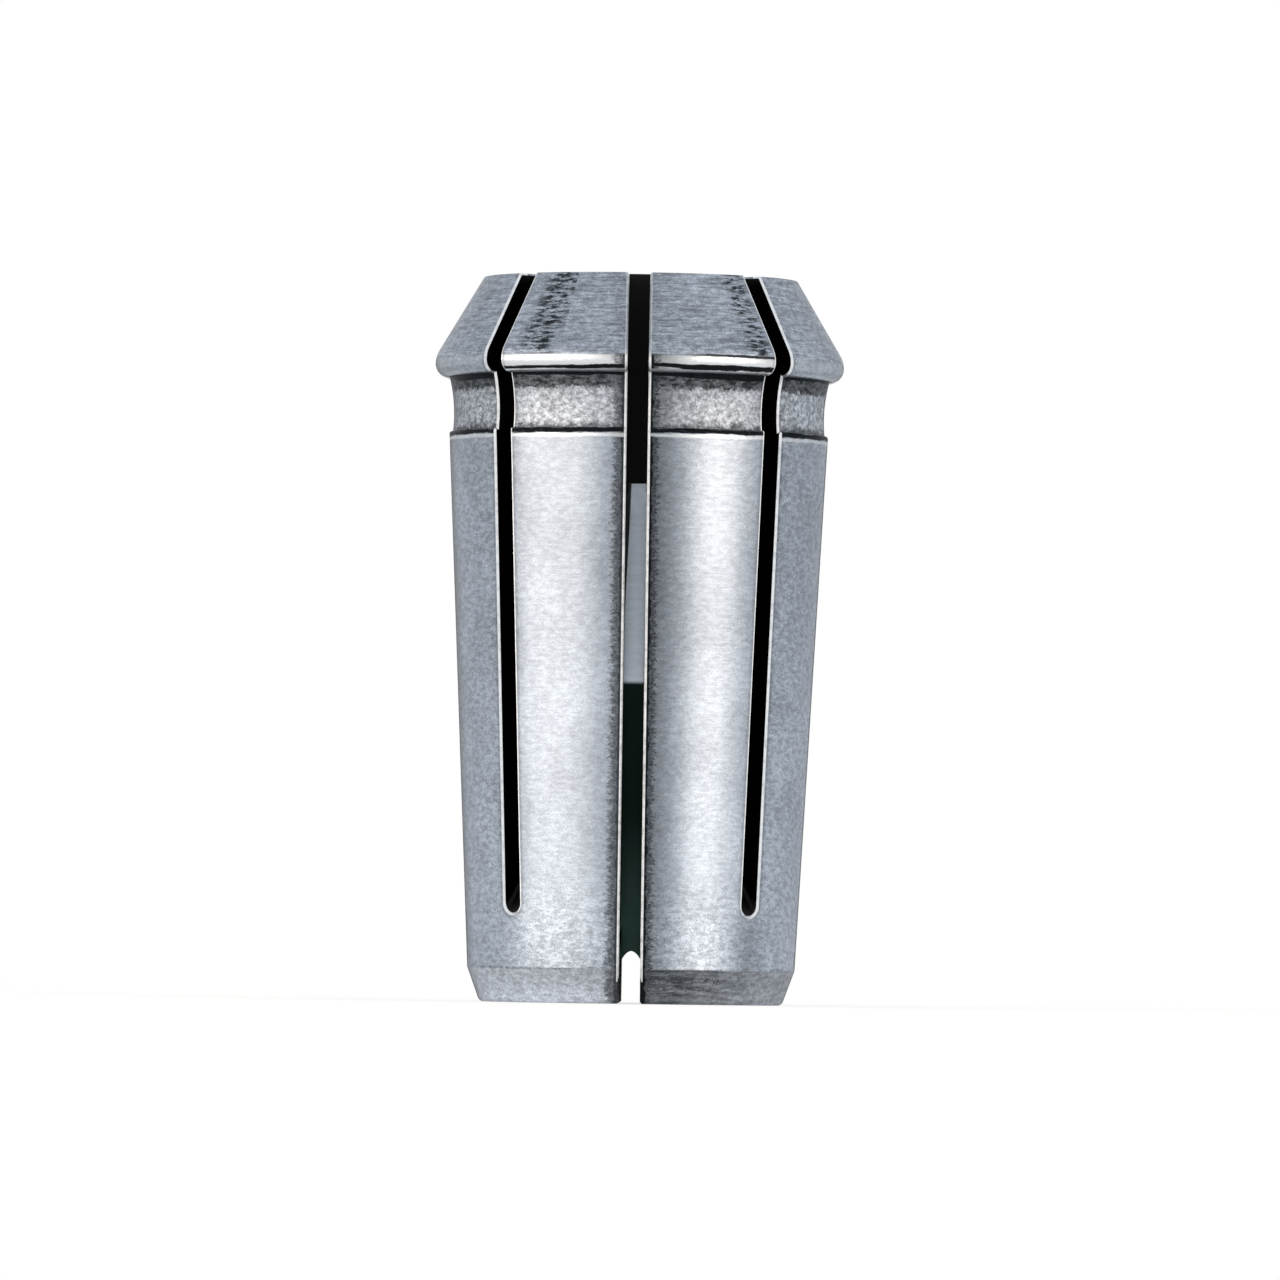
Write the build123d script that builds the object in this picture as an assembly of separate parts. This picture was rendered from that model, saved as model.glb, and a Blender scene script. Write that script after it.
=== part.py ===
import math
import os

from build123d import *

os.makedirs("parts", exist_ok=True)

# Heights run up from the rear face and radii out from the axis, mm
total_length = 61.95
bore_d = 12.0
bore_mouth = 0.5

# Nose: clamping cone and the rim that the closing nut pulls on
rim_overhang = 1.22
nose_length = 6.85
nose_half_angle = 30.7
rim_length = 1.77
rim_upper_round = 2.2
rim_lower_round = 1.15

# Extraction groove under the rim, dished, with a small step out to the body
groove_length = 4.62
groove_step = 0.31
groove_dish = 0.07
groove_flare = 0.42
groove_root_rise = 1.2

# Slow-taper body and its lead-in
body_large_d = 32.48
body_small_d = 28.07
lead_in_length = 2.95
lead_in_half_angle = 20.0
body_edge_round = 0.2
rear_edge_round = 0.5

# Slots, cut by a disc saw with rounded corners
slot_pairs = 4
slot_width = 1.8
slot_edge = 0.16
saw_d = 100.0
saw_corner = 0.45
long_slot_end = 7.58
long_slot_depth = 1.0
front_saw_height = 55.8
front_saw_floor = 4.66
rear_saw_height = 0.0
rear_saw_floor = 5.8

# Broken edge at the closed end of a long slot
end_shoulder = 0.55
end_shoulder_share = 0.62
end_tip_share = 0.2

# Cutters run past the surface by this much
clear = 1.0
lap = 0.1
square = 45.0
round_share = 0.95

bore_r = bore_d / 2
saw_r = saw_d / 2
wall_y = slot_width / 2
body_top_r = body_large_d / 2
body_foot_r = body_small_d / 2
groove_foot_r = body_top_r - groove_step
groove_root_r = groove_foot_r - groove_dish
groove_top_r = groove_root_r + groove_flare
rim_r = groove_top_r + rim_overhang
nose_r = rim_r - nose_length * math.tan(math.radians(nose_half_angle))
cone_foot = total_length - nose_length
groove_top = cone_foot - rim_length
groove_foot = groove_top - groove_length
groove_root = groove_foot + groove_root_rise
body_slope = math.atan2(body_top_r - body_foot_r, groove_foot - lead_in_length)
rear_r = body_foot_r - lead_in_length * math.tan(math.radians(lead_in_half_angle))

# Half section from the bore round the outside
bore_foot = (bore_r, bore_mouth)
bore_rear_lip = (bore_r + bore_mouth, 0)
rear_edge = (rear_r, 0)
lead_in_top = (body_foot_r, lead_in_length)
body_top = (body_top_r, groove_foot)
groove_low = (groove_foot_r, groove_foot)
groove_mid = (groove_root_r, groove_root)
groove_high = (groove_top_r, groove_top)
rim_under = (rim_r, groove_top)
rim_upper = (rim_r, cone_foot)
nose_edge = (nose_r, total_length)
bore_nose_lip = (bore_r + bore_mouth, total_length)
bore_nose = (bore_r, total_length - bore_mouth)

outline = make_face(
    Polyline(bore_foot, bore_rear_lip, rear_edge, lead_in_top, body_top, groove_low)
    + ThreePointArc(groove_low, groove_mid, groove_high)
    + Polyline(groove_high, rim_under, rim_upper, nose_edge, bore_nose_lip, bore_nose, bore_foot)
)
rounds = {
    rear_edge: rear_edge_round,
    body_top: body_edge_round,
    rim_under: min(rim_lower_round, round_share * rim_overhang),
    rim_upper: rim_upper_round,
}
for point, radius in rounds.items():
    edge = min(outline.vertices(), key=lambda v: math.dist((v.X, v.Y), point))
    outline = fillet(edge, radius)
collet = revolve(Plane.XZ * outline, Axis.Z)

# A long slot runs out of the nose and stops short of the rear face
end_r = body_foot_r + (long_slot_end - lead_in_length) * math.tan(body_slope)
long_saw_r = bore_r - long_slot_depth + saw_r
long_saw_height = long_slot_end + math.sqrt(saw_r**2 - (long_saw_r - end_r) ** 2)
travel = total_length + clear - long_saw_height
long_path = Pos(long_saw_r, long_saw_height) * Circle(saw_r)
long_path += Pos(long_saw_r, long_saw_height + travel / 2) * Rectangle(saw_d, travel)
long_saw = extrude(Plane.XZ * long_path, wall_y, both=True)
rim_edges = long_saw.edges().filter_by(lambda e: abs(e.center().Y) > wall_y - lap)
long_saw = fillet(rim_edges, saw_corner)

# A short slot is a cut from each end whose floors meet in a ridge
front_path = Pos(front_saw_floor + saw_r, front_saw_height) * Circle(saw_r)
rear_path = Pos(rear_saw_floor + saw_r, rear_saw_height) * Circle(saw_r)
front_saw = extrude(Plane.XZ * front_path, wall_y, both=True)
rear_saw = extrude(Plane.XZ * rear_path, wall_y, both=True)

# Edge breaker: the air round a thin skin, narrowing to the skin's surface
skin = offset(outline, amount=-(slot_edge + lap), kind=Kind.INTERSECTION)
width = rim_r + clear - bore_r
air = Pos(bore_r + width / 2, total_length / 2) * Rectangle(width, total_length + 2 * clear) - skin
breaker = extrude(Plane.XZ.offset(wall_y - lap) * air, slot_edge + lap, taper=square)
above = Pos(0, 0, groove_foot - 2 * slot_edge + total_length / 2) * Box(4 * rim_r, 4 * rim_r, total_length)
upper_breaker = breaker & above

# Edge breaker for the closed end, lying on the body's taper
mouth = wall_y + slot_edge
run = (groove_foot - long_slot_end) / math.cos(body_slope) + 2 * slot_edge
shoulder = (0, end_shoulder_share * mouth)
tip = (-slot_edge, end_tip_share * mouth)
half = [(run, mouth), (end_shoulder, mouth), shoulder, tip]
plan = make_face(Polyline(*half, *[(x, -y) for x, y in reversed(half)], half[0]))
along = (math.sin(body_slope), 0, math.cos(body_slope))
outward = (math.cos(body_slope), 0, -math.sin(body_slope))
surface = Plane(origin=(end_r, 0, long_slot_end), x_dir=along, z_dir=outward)
end_breaker = extrude(surface * plan, -slot_edge, taper=square) + extrude(surface * plan, clear)

short_cutters = [front_saw, rear_saw, breaker, mirror(breaker, Plane.XZ)]
long_cutters = [long_saw, upper_breaker, mirror(upper_breaker, Plane.XZ), end_breaker]
pitch = 180 / slot_pairs
for number in range(slot_pairs):
    for step, cutters in enumerate([short_cutters, long_cutters]):
        turn = Rot(Z=(2 * number + step) * pitch - 90)
        for cutter in cutters:
            collet -= turn * cutter

export_step(collet, "parts/collet.step")
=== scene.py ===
import math

import bmesh
import bpy
from mathutils import Matrix, Vector

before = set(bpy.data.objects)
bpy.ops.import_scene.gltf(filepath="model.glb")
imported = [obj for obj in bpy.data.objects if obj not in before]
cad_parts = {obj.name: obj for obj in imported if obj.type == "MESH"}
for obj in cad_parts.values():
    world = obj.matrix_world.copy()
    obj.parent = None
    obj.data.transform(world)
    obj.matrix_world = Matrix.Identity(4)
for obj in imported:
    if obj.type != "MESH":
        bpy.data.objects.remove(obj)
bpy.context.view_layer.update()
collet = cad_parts["collet"]
print("collet loaded")

# Where the turned features and slots lie, in mm as the material reads them
colletSizes = {
    "rimTop": 54.78,  # height where the nose starts
    "rimUnder": 53.33,
    "grooveFoot": 48.71,
    "leadInTop": 2.95,
    "bodyTopRadius": 16.24,
    "bodyFootRadius": 14.02,
    "noseEdge": 55.1,  # where the nose cone would meet the rim's side
    "rimRadius": 17.5,
    "noseSlope": 0.594,
    "longSlotCap": 8.48,  # height of the centre of a long slot's rounded end
    "floorsMeet": (27.0, 27.4),  # where a short slot's two saw floors meet
    "slotHalf": 0.9,
    "slotEdge": 1.06,  # half the slot with its broken edge
    "slotPitch": math.pi / 8,  # half the angle from slot to slot
}


def addNode(tree, kind, inputs=None, **options):
    node = tree.nodes.new(kind)
    for name, value in options.items():
        setattr(node, name, value)
    for socket, value in (inputs or {}).items():
        if isinstance(value, bpy.types.NodeSocket):
            tree.links.new(value, node.inputs[socket])
        else:
            node.inputs[socket].default_value = value
    return node


def calc(tree, operation, *values):
    return addNode(tree, "ShaderNodeMath", dict(enumerate(values)), operation=operation).outputs[0]


def both(tree, *masks):
    result = masks[0]
    for mask in masks[1:]:
        result = calc(tree, "MULTIPLY", result, mask)
    return result


def strongest(tree, *masks):
    result = masks[0]
    for mask in masks[1:]:
        result = calc(tree, "MAXIMUM", result, mask)
    return result


def opposite(tree, mask):
    return calc(tree, "SUBTRACT", 1.0, mask)


def vectorCalc(tree, operation, output, *values):
    return addNode(tree, "ShaderNodeVectorMath", dict(enumerate(values)), operation=operation).outputs[output]


def flatVector(tree, x, y):
    return addNode(tree, "ShaderNodeCombineXYZ", {0: x, 1: y}).outputs[0]


def fade(tree, value, low, high, start=0.0, end=1.0):
    inputs = {"Value": value, "From Min": low, "From Max": high, "To Min": start, "To Max": end}
    return addNode(tree, "ShaderNodeMapRange", inputs, interpolation_type="SMOOTHSTEP").outputs["Result"]


def fadeOut(tree, value, low, high):
    return fade(tree, value, low, high, 1.0, 0.0)


def band(tree, value, low, high, soft):
    return both(tree, fade(tree, value, low - soft, low + soft), fadeOut(tree, value, high - soft, high + soft))


def mixColour(tree, factor, first, second, kind="MIX"):
    node = addNode(tree, "ShaderNodeMix", data_type="RGBA", blend_type=kind)
    for index, value in ((0, factor), (6, first), (7, second)):
        if isinstance(value, bpy.types.NodeSocket):
            tree.links.new(value, node.inputs[index])
        else:
            node.inputs[index].default_value = (*value, 1.0) if index else value
    return node.outputs[2]


def mixValue(tree, factor, first, second):
    return addNode(tree, "ShaderNodeMix", {0: factor, 2: first, 3: second}).outputs[0]


def vary(tree, noise, least, most):
    return fade(tree, noise, 0.3, 0.7, least, most)  # nearly all of a noise lies between 0.3 and 0.7


def greyOf(tree, value):
    return addNode(tree, "ShaderNodeCombineColor", {0: value, 1: value, 2: value}).outputs[0]


def shadeBy(tree, colour, value):
    return mixColour(tree, 1.0, colour, greyOf(tree, value), "MULTIPLY")


def stretchedNoise(tree, point, stretch, scale, detail, roughness):
    moved = addNode(tree, "ShaderNodeMapping", {"Vector": point, "Scale": stretch}).outputs["Vector"]
    inputs = {"Vector": moved, "Scale": scale, "Detail": detail, "Roughness": roughness}
    return addNode(tree, "ShaderNodeTexNoise", inputs).outputs["Fac"]


steelFinish = {
    "body": (0.295, 0.333, 0.388),
    "nose": (0.293, 0.334, 0.391),
    # painted highlight on the rim
    "rim": (0.6, 0.63, 0.66),
    "leadIn": (0.41, 0.44, 0.49),
    "groove": (0.325, 0.355, 0.4),
    # painted highlights on broken edges, the step and the rim's lip
    "edge": (0.74, 0.77, 0.8),
    # grime, and painted shade and dark reflections
    "grimeAndShade": (0.0035, 0.005, 0.0065),
    # painted shade in the slots and bore
    "slotWallShade": (0.01, 0.01, 0.01),
    "frontFloor": (0.345, 0.385, 0.43),
    # painted shade on the rear saw floors, a dark copy of the front floor
    "shadedRearFloor": (0.0045, 0.0085, 0.0075),
    "roughness": (0.29, 0.38),  # least and most, with the grain
    "rimRoughness": 0.27,
    "grooveRoughness": 0.5,
    "topRoughness": 0.62,
    "floorRoughness": 0.18,
    "bumpStrength": 0.12,
    "bumpReach": 0.0003,  # m
    "grazingTint": (0.72, 0.73, 0.75),
}

# Each texture's stretch along x, y and z, scale, detail and roughness
steelTextures = {
    "lines": ((0.03, 0.03, 1.0), 7.0, 6.0, 0.7),  # grinding lines round the body
    "broad": ((0.12, 0.12, 0.1), 1.5, 3.0, 0.5),  # slow drifts of tone
    "grain": ((1.0, 1.0, 1.2), 6.0, 2.0, 0.75),
    "flecks": ((0.7, 0.7, 1.4), 2.0, 3.0, 0.6),
    "blasted": ((1.0, 1.0, 1.2), 2.3, 3.0, 0.75),  # the groove's mottle
    "ragged": ((1.0, 1.0, 1.0), 1.7, 4.0, 0.7),
    "teeth": ((0.7, 0.7, 1.6), 2.6, 4.0, 0.75),
    "streaks": ((0.35, 0.35, 2.2), 1.1, 4.0, 0.7),
    "strokes": ((0.45, 0.45, 2.6), 1.7, 3.0, 0.6),
    "noseLines": ((0.12, 0.12, 2.0), 3.0, 4.0, 0.7),
}

# How far each texture darkens and brightens the steel, and the tone from a part's foot to its top: painted light on the
# body and the rear floor, lighter at their feet, a painted highlight shaped on the rim, and the lead-in lighter at its
# foot
steelTones = {
    "broad": (0.9, 1.08),
    "lines": (0.98, 1.02),
    "grain": (0.76, 1.24),
    "flecks": (0.75, 1.25),
    "noseLines": (0.66, 1.36),
    "blasted": (0.55, 1.5),
    "mottle": (0.85, 1.15),
    "bodyLightUpwards": (1.18, 0.94),
    "rimHighlightUpwards": (1.1, 0.86),
    "leadInUpwards": (1.13, 0.9),
    "rearFloorLightUpwards": (4.0, 1.0),
    "smoothness": 0.48,  # how much less speckled the front and back are
}

# How strong the marks, stains, painted shade and painted highlights are; a pair is least and most unless it says
# otherwise
markStrengths = {
    "hairline": (0.9, 0.99),  # left and right of a slot
    "strip": (0.82, 0.93),  # left and right
    "longFade": (0.06, 0.62),  # left and right
    "longSlotHairline": 0.35,
    "longSlotStrip": 0.1,
    "noseMargin": 0.2,
    "rimReflectionLine": 0.99,
    "sideRimReflectionLine": 0.2,
    "upperRimReflectionLine": 0.93,
    "underRimShade": 0.95,
    "rimShade": 0.99,
    "grooveTopShadow": (0.62, 0.95),
    "grooveFootShade": 0.5,
    "stepSoftShade": 0.7,
    "stepShadeLine": (0.9, 0.99),
    "stepHighlight": 0.45,
    "noseSmudge": (0.3, 0.92),
    "topDust": 0.25,
    "slotFootShade": 0.36,
    "leadInDarkSide": (0.82, 0.42),  # at the slot and away from it
    "leadStreak": (0.9, 0.1),  # at the slot and away from it
    "leadLine": (0.1, 0.45),
}

# Heights of the marks, stains, painted shade and painted highlights, low to high, in mm; left and right are of a short
# slot
markHeights = {
    "upperRimReflectionLine": (54.74, 54.98),
    "rimReflectionLine": {"left": 53.75, "rightAtSlot": 54.0, "rightAway": 53.84},
    "lipHighlight": (53.34, 53.6),
    "rimShade": {"left": 53.08, "rightAtSlot": 53.05, "rightAway": 52.82},
    "grooveTopShadow": (51.9, 52.2),
    "grooveFootShade": (48.7, 49.5),
    "stepSoftShade": (48.6, 48.95),
    "stepShadeLine": (48.26, 48.66),
    "stepHighlight": (47.92, 48.2),
    "slotFootShade": (6.0, 9.0),
    "leadLine": (2.85, 3.03),
    "leadStreak": (1.85, 2.1),
    "lowLeadStreak": (1.2, 1.4),
}


def makeGroundSteel(sizes, finish, textures, tones, strengths, marks):
    steel = bpy.data.materials.new("groundSteel")
    steel.use_nodes = True
    tree = steel.node_tree
    shader = tree.nodes["Principled BSDF"]
    shader.inputs["Metallic"].default_value = 1.0
    shader.inputs["Specular Tint"].default_value = (*finish["grazingTint"], 1.0)

    # Place on the collet, in mm: height, radius, and distance from the nearest slot's middle
    coords = addNode(tree, "ShaderNodeTexCoord").outputs["Object"]
    scaled = addNode(tree, "ShaderNodeVectorMath", {0: coords, "Scale": 1000.0}, operation="SCALE")
    point = scaled.outputs["Vector"]
    x, y, height = addNode(tree, "ShaderNodeSeparateXYZ", {0: point}).outputs
    flatPoint = flatVector(tree, x, y)
    radius = vectorCalc(tree, "LENGTH", "Value", flatPoint)
    turn = calc(tree, "ARCTAN2", y, x)
    pitch = sizes["slotPitch"]
    fromSlot = calc(tree, "WRAP", turn, pitch, -pitch)
    side = calc(tree, "GREATER_THAN", fromSlot, 0.0)  # 1 to the right of a slot, seen from outside
    across = calc(tree, "MULTIPLY", radius, calc(tree, "SINE", calc(tree, "ABSOLUTE", fromSlot)))
    shortTurn = calc(tree, "PINGPONG", turn, 2 * pitch)
    shortSlot = calc(tree, "LESS_THAN", shortTurn, pitch)
    longSlot = opposite(tree, shortSlot)
    shortSide = calc(tree, "GREATER_THAN", calc(tree, "WRAP", turn, 2 * pitch, -2 * pitch), 0.0)
    belowCap = calc(tree, "MAXIMUM", calc(tree, "SUBTRACT", sizes["longSlotCap"], height), 0.0)
    belowCap = calc(tree, "MULTIPLY", belowCap, longSlot)
    slotGap = vectorCalc(tree, "LENGTH", "Value", flatVector(tree, across, belowCap))

    # Which way a face looks: outwards, upwards, or into a slot
    normal = addNode(tree, "ShaderNodeNewGeometry").outputs["True Normal"]
    outward = vectorCalc(tree, "NORMALIZE", "Vector", flatPoint)
    facing = vectorCalc(tree, "DOT_PRODUCT", "Value", normal, outward)
    upward = addNode(tree, "ShaderNodeSeparateXYZ", {0: normal}).outputs[2]
    inPlane = vectorCalc(tree, "LENGTH", "Value", flatVector(tree, facing, upward))
    wall = fadeOut(tree, inPlane, 0.25, 0.45)
    openFace = opposite(tree, wall)
    topFace = fade(tree, upward, 0.9, 0.97)
    bore = fadeOut(tree, facing, -0.6, -0.2)

    # How deep under the outer skin, and the slot floors that lie there
    slope = (sizes["bodyTopRadius"] - sizes["bodyFootRadius"]) / (sizes["grooveFoot"] - sizes["leadInTop"])
    bodySkin = calc(tree, "MULTIPLY_ADD", height, slope, sizes["bodyFootRadius"] - slope * sizes["leadInTop"])
    noseSkin = calc(tree, "MULTIPLY_ADD", height, -sizes["noseSlope"],
                    sizes["rimRadius"] + sizes["noseSlope"] * sizes["noseEdge"])
    skin = calc(tree, "MINIMUM", bodySkin, noseSkin)
    allowed = fade(tree, height, 40.0, 48.0, 0.33, 0.85)  # more by the groove, which is cut deeper
    deep = calc(tree, "GREATER_THAN", calc(tree, "SUBTRACT", skin, radius), allowed)
    half = sizes["slotHalf"]
    floor = both(tree, fadeOut(tree, across, half - 0.03, half - 0.01), deep, shortSlot)
    longFloor = both(tree, fadeOut(tree, slotGap, half - 0.02, half + 0.02), longSlot)
    brokenEdge = both(tree, fadeOut(tree, slotGap, sizes["slotEdge"] + 0.02, sizes["slotEdge"] + 0.08),
                      openFace, opposite(tree, deep))

    nearFront = calc(tree, "LESS_THAN", calc(tree, "ABSOLUTE", x), calc(tree, "ABSOLUTE", y))
    nose = fade(tree, height, sizes["rimTop"] - 0.1, sizes["rimTop"] + 0.25)
    # The rim band, strongest at the front and back, where its colour paints a highlight
    rim = both(tree, band(tree, height, sizes["rimUnder"] + 0.03, sizes["rimTop"], 0.05),
               mixValue(tree, nearFront, 0.2, 1.0))
    groove = band(tree, height, sizes["grooveFoot"] + 0.02, sizes["rimUnder"] + 0.02, 0.02)
    leadIn = fadeOut(tree, height, sizes["leadInTop"] - 0.1, sizes["leadInTop"] + 0.1)

    noise = {name: stretchedNoise(tree, point, *values) for name, values in textures.items()}
    grain, flecks, ragged, teeth = noise["grain"], noise["flecks"], noise["ragged"], noise["teeth"]
    lines, blasted, streaks = noise["lines"], noise["blasted"], noise["streaks"]

    # Colour of each turned part, and the light and dark of its texture; the rim's bright colour is a painted highlight
    colour = mixColour(tree, nose, finish["body"], finish["nose"])
    colour = mixColour(tree, rim, colour, finish["rim"])
    colour = mixColour(tree, groove, colour, finish["groove"])
    colour = mixColour(tree, leadIn, colour, finish["leadIn"])
    smooth = both(tree, nearFront, fade(tree, height, 5.0, 12.0), opposite(tree, nose))
    speckle = both(tree, vary(tree, grain, *tones["grain"]), vary(tree, flecks, *tones["flecks"]))
    speckle = mixValue(tree, calc(tree, "MULTIPLY", smooth, tones["smoothness"]), speckle, 1.0)
    tone = both(tree, vary(tree, noise["broad"], *tones["broad"]), fade(tree, height, 6.0, 48.0, *tones["bodyLightUpwards"]),
                vary(tree, lines, *tones["lines"]), speckle)
    noseTone = calc(tree, "MULTIPLY", tone, vary(tree, noise["noseLines"], *tones["noseLines"]))
    tone = mixValue(tree, nose, tone, noseTone)
    tone = mixValue(tree, rim, tone, fade(tree, height, 54.1, 54.75, *tones["rimHighlightUpwards"]))
    leadTone = mixValue(tree, leadIn, 1.0, fade(tree, height, 0.3, 2.4, *tones["leadInUpwards"]))
    tone = calc(tree, "MULTIPLY", tone, leadTone)
    mottle = both(tree, vary(tree, blasted, *tones["blasted"]), vary(tree, ragged, *tones["mottle"]))
    tone = mixValue(tree, groove, tone, calc(tree, "MULTIPLY", tone, mottle))
    colour = shadeBy(tree, colour, tone)

    # Dark margins beside the slots, painted shade with some grime: a hairline, a ragged strip, and a long fade on one
    # side
    fromEdge = calc(tree, "SUBTRACT", slotGap, sizes["slotEdge"])
    raggedGap = calc(tree, "ADD", fromEdge, fade(tree, ragged, 0.2, 0.8, -0.14, 0.14))
    hairline = both(tree, fadeOut(tree, raggedGap, 0.2, 0.5), mixValue(tree, side, *strengths["hairline"]),
                    mixValue(tree, shortSlot, strengths["longSlotHairline"], 1.0))
    toothedGap = calc(tree, "ADD", fromEdge, fade(tree, teeth, 0.25, 0.75, -0.42, 0.42))
    strip = both(tree, fadeOut(tree, toothedGap, 0.5, 1.3), vary(tree, grain, 1.0, 0.8),
                 mixValue(tree, side, *strengths["strip"]), mixValue(tree, shortSlot, strengths["longSlotStrip"], 1.0))
    longFade = both(tree, fadeOut(tree, toothedGap, 0.0, 4.2), mixValue(tree, side, *strengths["longFade"]), shortSlot)
    slotMarginShadeAndGrime = both(tree, strongest(tree, strip, longFade, hairline),
                  fade(tree, nose, 0.0, 1.0, 1.0, strengths["noseMargin"]))

    # Heights with a ragged or streaky edge, for marks that run round the collet
    ragHeight = calc(tree, "ADD", height, fade(tree, ragged, 0.2, 0.8, -0.35, 0.35))
    thinHeight = calc(tree, "ADD", height, fade(tree, streaks, 0.2, 0.8, -0.09, 0.09))
    outside = fade(tree, radius, 16.55, 16.65)

    # Painted dark reflections on the rim as turned lines, and painted shade in a corner by the slot and on its
    # underside
    lineAt = marks["rimReflectionLine"]
    lineRight = fade(tree, shortTurn, 0.06, 0.3, lineAt["rightAtSlot"], lineAt["rightAway"])
    lineMiddle = mixValue(tree, shortSide, lineAt["left"], lineRight)
    lineHalf = mixValue(tree, shortSide, fade(tree, shortTurn, 0.06, 0.4, 0.24, 0.15),
                        fade(tree, shortTurn, 0.06, 0.3, 0.15, 0.22))
    lineGap = calc(tree, "ABSOLUTE", calc(tree, "SUBTRACT", thinHeight, lineMiddle))
    rimReflectionLine = both(tree, fadeOut(tree, calc(tree, "SUBTRACT", lineGap, lineHalf), -0.04, 0.06), outside,
                   mixValue(tree, nearFront, strengths["sideRimReflectionLine"], strengths["rimReflectionLine"]))
    upperRimReflectionLine = both(tree, band(tree, thinHeight, *marks["upperRimReflectionLine"], 0.06), outside, nearFront,
                        fade(tree, x, 2.5, 6.5), strengths["upperRimReflectionLine"])
    rimCornerShade = both(tree, rim, shortSlot, nearFront, fadeOut(tree, across, 1.5, 2.6), fade(tree, ragged, 0.4, 0.6))
    underRimShade = fade(tree, upward, -0.995, -0.96, strengths["underRimShade"], 0.0)

    # Painted shadow of the rim across the groove's top, and painted shade at the groove's foot and on the step below it
    shadeAt = marks["rimShade"]
    shadeRight = fade(tree, shortTurn, 0.15, 0.35, shadeAt["rightAtSlot"], shadeAt["rightAway"])
    shadeFoot = mixValue(tree, shortSide, shadeAt["left"], shadeRight)
    rimShade = both(tree, fade(tree, calc(tree, "SUBTRACT", thinHeight, shadeFoot), -0.05, 0.06), groove,
                    strengths["rimShade"])
    grooveTopShadow = both(tree, fade(tree, ragHeight, *marks["grooveTopShadow"]), groove,
                     fade(tree, flecks, 0.35, 0.65, *strengths["grooveTopShadow"]))
    grooveFootShade = both(tree, fadeOut(tree, ragHeight, *marks["grooveFootShade"]), groove, strengths["grooveFootShade"])
    stepSoftShade = calc(tree, "MULTIPLY", band(tree, ragHeight, *marks["stepSoftShade"], 0.1), strengths["stepSoftShade"])
    stepShadeLine = strongest(tree, band(tree, thinHeight, *marks["stepShadeLine"], 0.06), stepSoftShade)
    stepShadeLine = both(tree, stepShadeLine, fade(tree, radius, 15.8, 15.9),
                    fade(tree, ragged, 0.25, 0.45, *strengths["stepShadeLine"]))

    # Smudges on the nose and dust on its face, painted shade at the foot of a long slot, and the lead-in darker on one
    # side, with streaks and a dark line at its top
    smudgeBand = mixValue(tree, side, band(tree, across, 1.3, 3.6, 0.8), band(tree, across, 2.6, 6.0, 1.0))
    noseSmudge = both(tree, nose, opposite(tree, topFace), nearFront, longSlot, smudgeBand,
                      fade(tree, noise["strokes"], 0.46, 0.56),
                      fade(tree, ragged, 0.32, 0.52, *strengths["noseSmudge"]))
    topDust = calc(tree, "MULTIPLY", topFace, strengths["topDust"])
    slotFootShade = both(tree, longSlot, fade(tree, x, 2.0, 4.0), fadeOut(tree, y, -4.0, -2.0),
                    fadeOut(tree, across, 0.0, 2.8), fade(tree, height, *marks["slotFootShade"], strengths["slotFootShade"], 0.0))
    leadInDarkSide = both(tree, leadIn, fade(tree, x, -0.5, 1.5), fade(tree, x, 3.0, 13.0, *strengths["leadInDarkSide"]),
                     fade(tree, streaks, 0.3, 0.65, 0.72, 1.1))
    leadStreak = strongest(tree, band(tree, ragHeight, *marks["leadStreak"], 0.1),
                           band(tree, ragHeight, *marks["lowLeadStreak"], 0.08))
    leadStreak = both(tree, leadStreak, leadIn, fade(tree, x, 0.0, 1.0),
                      fade(tree, x, 7.0, 10.0, *strengths["leadStreak"]))
    leadLine = both(tree, band(tree, thinHeight, *marks["leadLine"], 0.08),
                    fade(tree, ragged, 0.35, 0.6, *strengths["leadLine"]))

    # Real smudges, dust and streaks together with the painted shade, shadows and dark reflections
    grimeAndShade = strongest(tree, slotMarginShadeAndGrime, rimReflectionLine, upperRimReflectionLine, rimCornerShade, underRimShade, rimShade, grooveTopShadow, grooveFootShade,
                      stepShadeLine, noseSmudge, topDust, slotFootShade, leadInDarkSide, leadStreak, leadLine)
    colour = mixColour(tree, grimeAndShade, colour, finish["grimeAndShade"])

    # Painted highlights on the broken edges, the step and the rim's lip
    stepHighlight = both(tree, band(tree, thinHeight, *marks["stepHighlight"], 0.06), strengths["stepHighlight"])
    lipHighlight = both(tree, band(tree, thinHeight, *marks["lipHighlight"], 0.05), outside, nearFront,
               fade(tree, shortTurn, 0.06, 0.3, 0.5, 1.0))
    edgeHighlight = both(tree, brokenEdge, fade(tree, ragged, 0.3, 0.6, 0.62, 1.0),
                      mixValue(tree, both(tree, nose, shortSlot), 1.0, 0.45))
    colour = mixColour(tree, strongest(tree, edgeHighlight, stepHighlight, lipHighlight), colour, finish["edge"])

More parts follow.
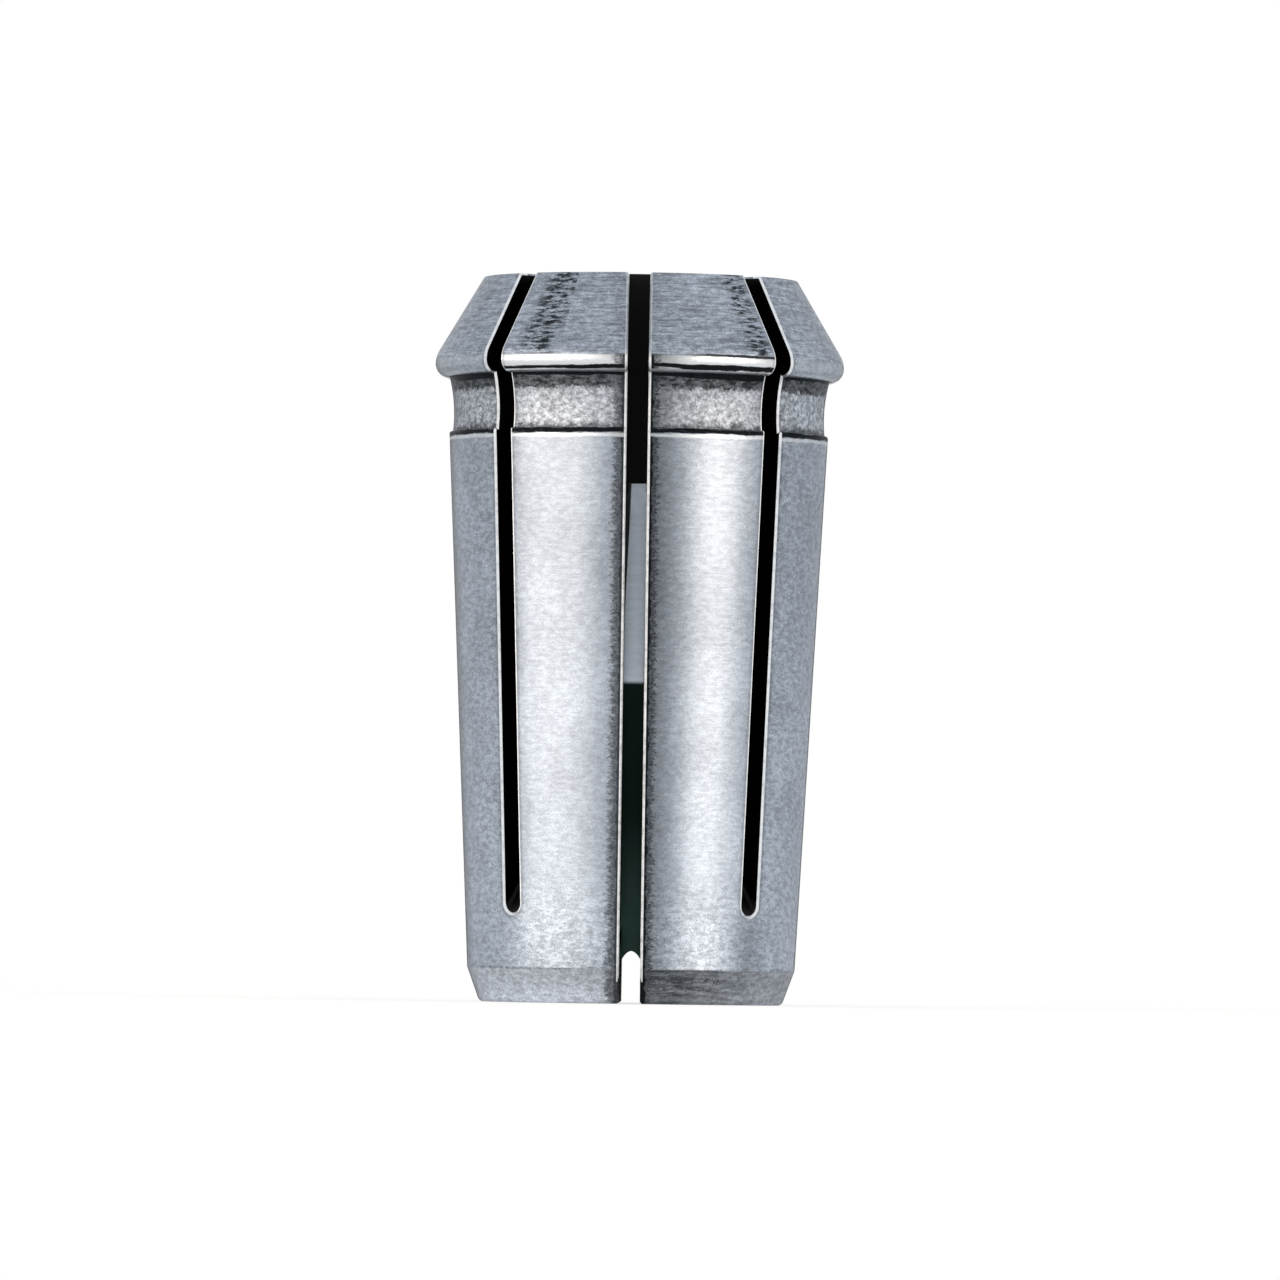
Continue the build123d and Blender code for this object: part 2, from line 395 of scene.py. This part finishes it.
    # The short slots' floors with painted shade along one corner, the rear floors a painted shaded copy lighter towards
    # the foot, then painted shade on the slot walls, bore and the long slots' insides
    corner = mixValue(tree, side, fade(tree, height, 30.0, 46.0, 0.92, 0.5), 0.84)
    cornerDark = fade(tree, calc(tree, "SUBTRACT", across, corner), -0.05, 0.05, 1.0, 0.05)
    floorTone = both(tree, cornerDark, vary(tree, streaks, 0.94, 1.04),
                     fade(tree, height, 7.0, 17.0, *tones["rearFloorLightUpwards"]))
    inFront = fade(tree, height, *sizes["floorsMeet"])
    slotFloor = mixColour(tree, inFront, finish["shadedRearFloor"], finish["frontFloor"])
    colour = mixColour(tree, floor, colour, shadeBy(tree, slotFloor, floorTone))
    colour = mixColour(tree, strongest(tree, wall, bore, longFloor), colour, finish["slotWallShade"])
    tree.links.new(colour, shader.inputs["Base Color"])

    rough = vary(tree, grain, *finish["roughness"])
    rough = mixValue(tree, rim, rough, finish["rimRoughness"])
    rough = mixValue(tree, strongest(tree, groove, grimeAndShade), rough, finish["grooveRoughness"])
    rough = mixValue(tree, topFace, rough, finish["topRoughness"])
    rough = mixValue(tree, floor, rough, finish["floorRoughness"])
    tree.links.new(rough, shader.inputs["Roughness"])

    relief = calc(tree, "ADD", calc(tree, "MULTIPLY", lines, 0.22), calc(tree, "MULTIPLY", grain, 0.2))
    relief = mixValue(tree, groove, relief, blasted)
    inputs = {"Strength": finish["bumpStrength"], "Distance": finish["bumpReach"], "Height": relief}
    tree.links.new(addNode(tree, "ShaderNodeBump", inputs).outputs["Normal"], shader.inputs["Normal"])
    return steel


groundSteel = makeGroundSteel(colletSizes, steelFinish, steelTextures, steelTones, markStrengths, markHeights)
for slot in collet.material_slots:
    slot.material = groundSteel
print("ground steel made")


def addObject(name, mesh, material):
    data = bpy.data.meshes.new(name)
    mesh.to_mesh(data)
    mesh.free()
    data.materials.append(material)
    made = bpy.data.objects.new(name, data)
    bpy.context.scene.collection.objects.link(made)
    return made


def seenDirectly(tree):
    rays = addNode(tree, "ShaderNodeLightPath").outputs
    return strongest(tree, rays["Is Camera Ray"], rays["Is Glossy Ray"], rays["Is Transmission Ray"])


# A black strip deep in the front slot, a sheet of painted shade, so that the room doesn't shine through it
slotShadeSettings = {
    "y": -0.0112,  # m, behind the nose
    "halfWidth": 0.00089,
    "low": 0.0441,
    "high": 0.0619,
    "thickness": 0.0001,
    "colour": (0.004, 0.004, 0.004),
}


def makeShadeBlack(settings):
    black = bpy.data.materials.new("shadeBlack")
    black.use_nodes = True
    shader = black.node_tree.nodes["Principled BSDF"]
    shader.inputs["Base Color"].default_value = (*settings["colour"], 1.0)
    shader.inputs["Roughness"].default_value = 1.0
    return black


def makeSlotShade(settings):
    mesh = bmesh.new()
    bmesh.ops.create_cube(mesh, size=1.0)
    tall = settings["high"] - settings["low"]
    bmesh.ops.scale(mesh, vec=(2 * settings["halfWidth"], settings["thickness"], tall), verts=mesh.verts)
    bmesh.ops.translate(mesh, vec=(0, settings["y"], settings["low"] + tall / 2), verts=mesh.verts)
    shade = addObject("slotShade", mesh, makeShadeBlack(settings))
    shade.visible_glossy = False  # so the slot's floor still mirrors the open front


makeSlotShade(slotShadeSettings)

floorSettings = {
    "drop": 0.00002,  # m under the collet's rear face
    "size": 3.5,  # half its width
    "colour": (0.92, 0.92, 0.92),
    "shadow": 0.32,  # how much of the real shadow shows beside the collet
    "shadowReach": (0.05, 0.3),  # where it starts and ends to fade, in m from the axis
}


def makePaleFloor(settings):
    pale = bpy.data.materials.new("paleFloor")
    pale.use_nodes = True
    tree = pale.node_tree
    tree.nodes.clear()
    diffuse = addNode(tree, "ShaderNodeBsdfDiffuse", {"Color": (*settings["colour"], 1.0)})
    glow = addNode(tree, "ShaderNodeEmission", {"Color": (1, 1, 1, 1), "Strength": 1.0})
    place = addNode(tree, "ShaderNodeTexCoord").outputs["Object"]
    away = vectorCalc(tree, "LENGTH", "Value", place)
    white = fade(tree, away, *settings["shadowReach"], 1.0 - settings["shadow"], 1.0)
    share = calc(tree, "MULTIPLY", seenDirectly(tree), white)
    mix = addNode(tree, "ShaderNodeMixShader", {0: share, 1: diffuse.outputs[0], 2: glow.outputs[0]})
    out = addNode(tree, "ShaderNodeOutputMaterial")
    tree.links.new(mix.outputs[0], out.inputs["Surface"])
    return pale


def makeFloor(settings):
    mesh = bmesh.new()
    bmesh.ops.create_grid(mesh, x_segments=1, y_segments=1, size=settings["size"])
    bmesh.ops.translate(mesh, vec=(0, 0, -settings["drop"]), verts=mesh.verts)
    floor = addObject("floor", mesh, makePaleFloor(settings))


makeFloor(floorSettings)
print("stage made")

roomSettings = {"level": 1.0}  # strength of the white room's light


def makeRoom(settings):
    world = bpy.data.worlds.new("room")
    bpy.context.scene.world = world
    world.use_nodes = True
    tree = world.node_tree
    background = tree.nodes["Background"]
    background.inputs["Color"].default_value = (1, 1, 1, 1)
    strength = fade(tree, seenDirectly(tree), 0.0, 1.0, settings["level"], 1.0)
    tree.links.new(strength, background.inputs["Strength"])


makeRoom(roomSettings)

lampSettings = {
    "distance": 0.6,  # m from the collet's axis
    "middle": 0.115,  # height of each lamp's middle
    "height": 0.22,
    "colour": (1.0, 0.86, 0.72),
    "lamps": {  # bearing in degrees, 0 in front of the collet
        "left": {"bearing": -53, "width": 0.58, "power": 1.84},
        "right": {"bearing": 50, "width": 0.3, "power": 1.28},
        "back": {"bearing": -140, "width": 0.5, "power": 0.05},
    },
}


def makeLamps(settings):
    for name, own in settings["lamps"].items():
        data = bpy.data.lights.new(name + "Lamp", "AREA")
        data.shape = "RECTANGLE"
        data.size, data.size_y = own["width"], settings["height"]
        data.energy = own["power"]
        data.color = settings["colour"]
        lamp = bpy.data.objects.new(name + "Lamp", data)
        bpy.context.scene.collection.objects.link(lamp)
        bearing = math.radians(own["bearing"])
        place = Vector((math.sin(bearing), -math.cos(bearing), 0)) * settings["distance"]
        place.z = settings["middle"]
        toCollet = Vector((-place.x, -place.y, 0)).to_track_quat("-Z", "Y").to_matrix().to_4x4()
        lamp.matrix_world = Matrix.Translation(place) @ toCollet


makeLamps(lampSettings)
print("lamps made")

cameraSettings = {
    "distance": 1.154,  # m from the collet's axis
    "eyeHeight": 0.005,  # just above the floor
    "azimuth": 0.5,  # degrees round the collet
    "aimX": 0.00036,
    "aimZ": 0.0311,
    "roll": 0.85,  # degrees
    "lens": 379.2,
}


def makeCamera(settings):
    turn = math.radians(settings["azimuth"])
    data = bpy.data.cameras.new("viewCamera")
    data.lens = settings["lens"]
    data.sensor_width = 36.0
    data.clip_start, data.clip_end = 0.01, 50.0
    camera = bpy.data.objects.new("viewCamera", data)
    bpy.context.scene.collection.objects.link(camera)
    place = Vector((math.sin(turn), -math.cos(turn), 0)) * settings["distance"]
    place.z = settings["eyeHeight"]
    target = Vector((settings["aimX"], 0, settings["aimZ"]))
    facing = (target - place).to_track_quat("-Z", "Y").to_matrix().to_4x4()
    roll = Matrix.Rotation(math.radians(settings["roll"]), 4, "Z")
    camera.matrix_world = Matrix.Translation(place) @ facing @ roll
    bpy.context.scene.camera = camera


makeCamera(cameraSettings)
print("camera placed")

bpy.context.scene.view_settings.view_transform = "Standard"
